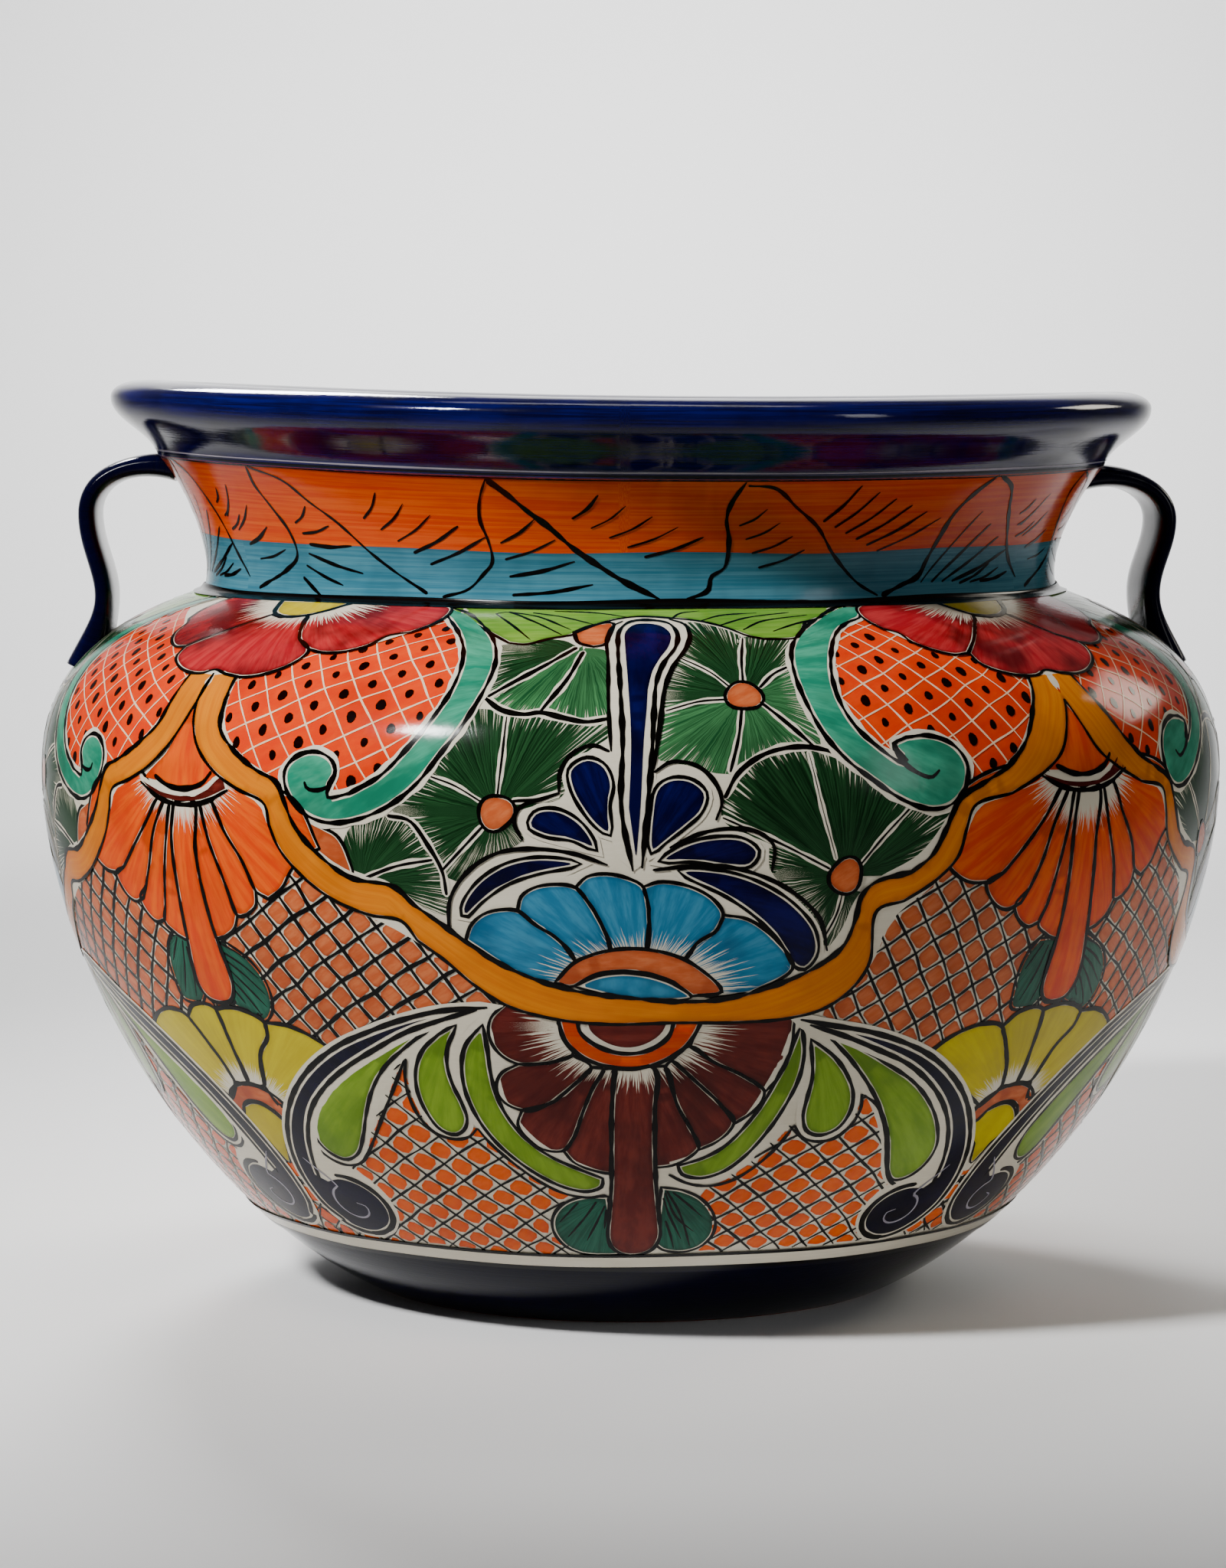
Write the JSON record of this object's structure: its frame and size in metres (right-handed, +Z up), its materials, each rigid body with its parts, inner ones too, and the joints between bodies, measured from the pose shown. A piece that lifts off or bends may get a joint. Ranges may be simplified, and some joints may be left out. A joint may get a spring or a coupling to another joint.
{
  "type": "two-handled pottery jar",
  "caption": "Wide-mouthed glazed pottery jar with a round belly, flared neck, rolled rim, flat foot and a strap handle on each side.",
  "frame": {"origin": "centre of the flat foot, on the surface that the jar stands on", "axes": "+Z up the jar's axis, -Y towards the viewer of the front panel, handles on the X axis"},
  "size_m": [0.44, 0.44, 0.335],
  "materials": {
    "cobalt_glaze": "gloss",
    "painted_glaze": "gloss",
    "neck_glaze": "gloss",
    "handle_glaze": "gloss"
  },
  "bodies": {
    "root": {"base_dish": "cobalt_glaze", "lower_bowl": "painted_glaze", "shoulder": "painted_glaze", "neck_collar": "neck_glaze", "rim_roll": "cobalt_glaze", "left_handle": "handle_glaze", "right_handle": "handle_glaze"}
  },
  "joints": []
}
